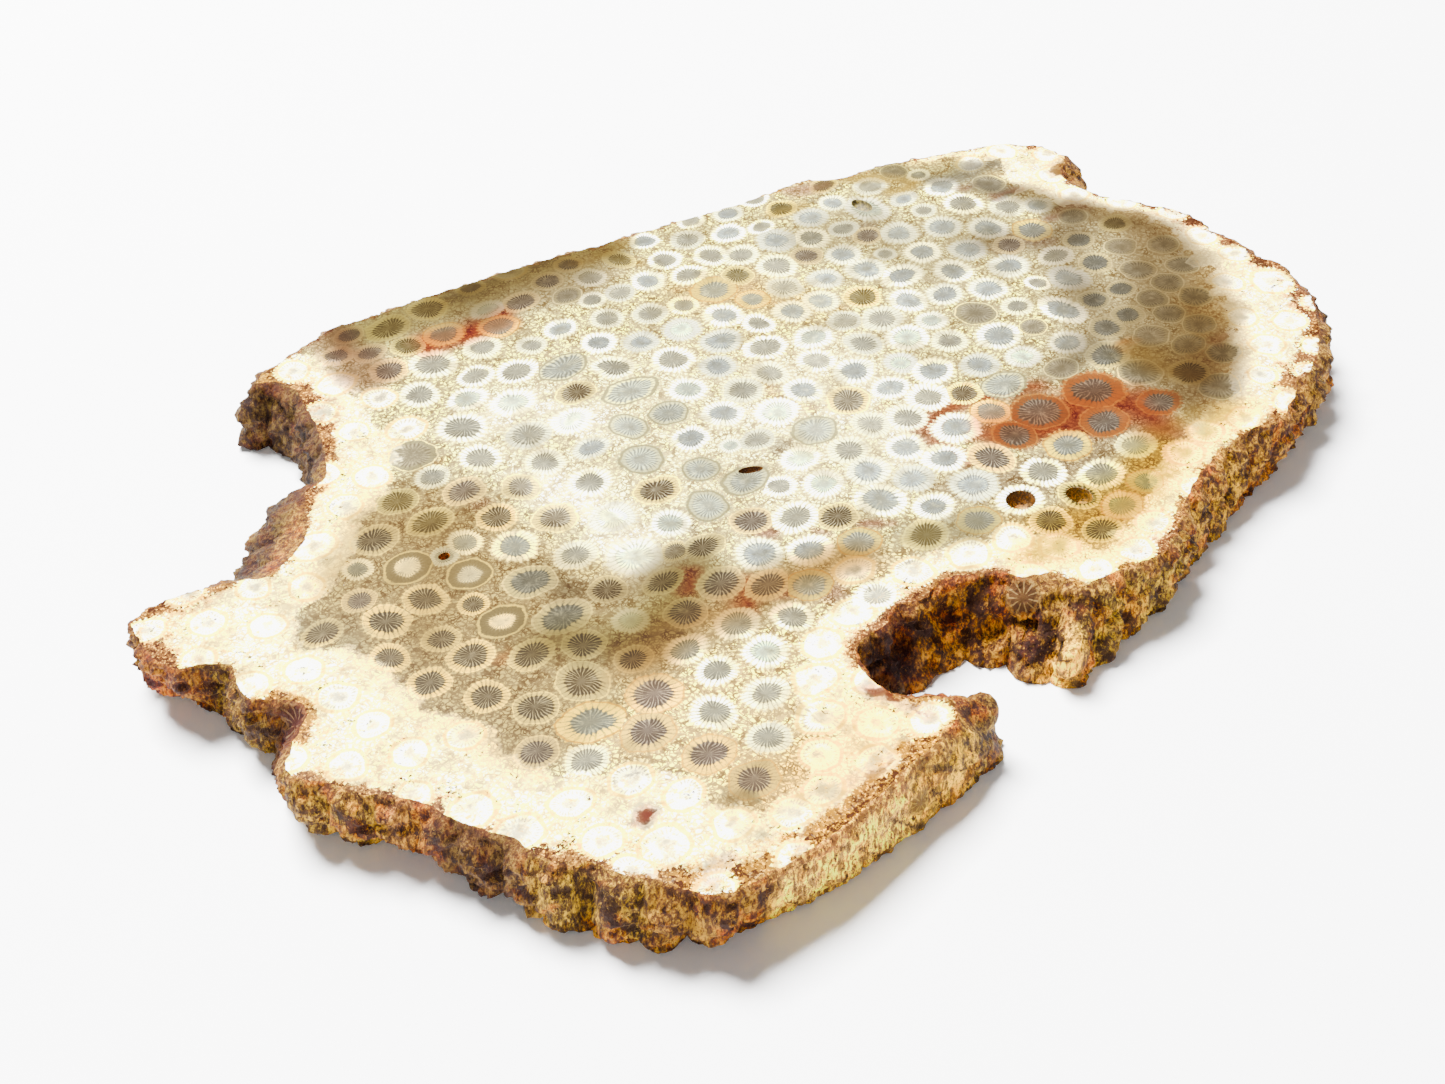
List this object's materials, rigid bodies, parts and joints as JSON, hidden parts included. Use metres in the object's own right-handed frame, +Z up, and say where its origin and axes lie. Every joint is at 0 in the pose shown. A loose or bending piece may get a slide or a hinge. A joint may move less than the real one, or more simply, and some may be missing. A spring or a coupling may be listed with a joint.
{
  "type": "fossil coral slice",
  "caption": "Flat polished slice of agatized colonial coral with a rough broken rim and a deep bay in one edge, lies on its flat face.",
  "frame": {"origin": "middle of the flat base, at the centre of the bounding box", "axes": "+X along the slab's length, +Z up out of the polished face, so the thickness runs along Z"},
  "size_m": [0.1714, 0.1222, 0.0105],
  "materials": {
    "agatized_coral": "polished upper face, sawn base, rough chalky rim"
  },
  "bodies": {
    "root": {"coral_slice": "agatized_coral"}
  },
  "joints": []
}
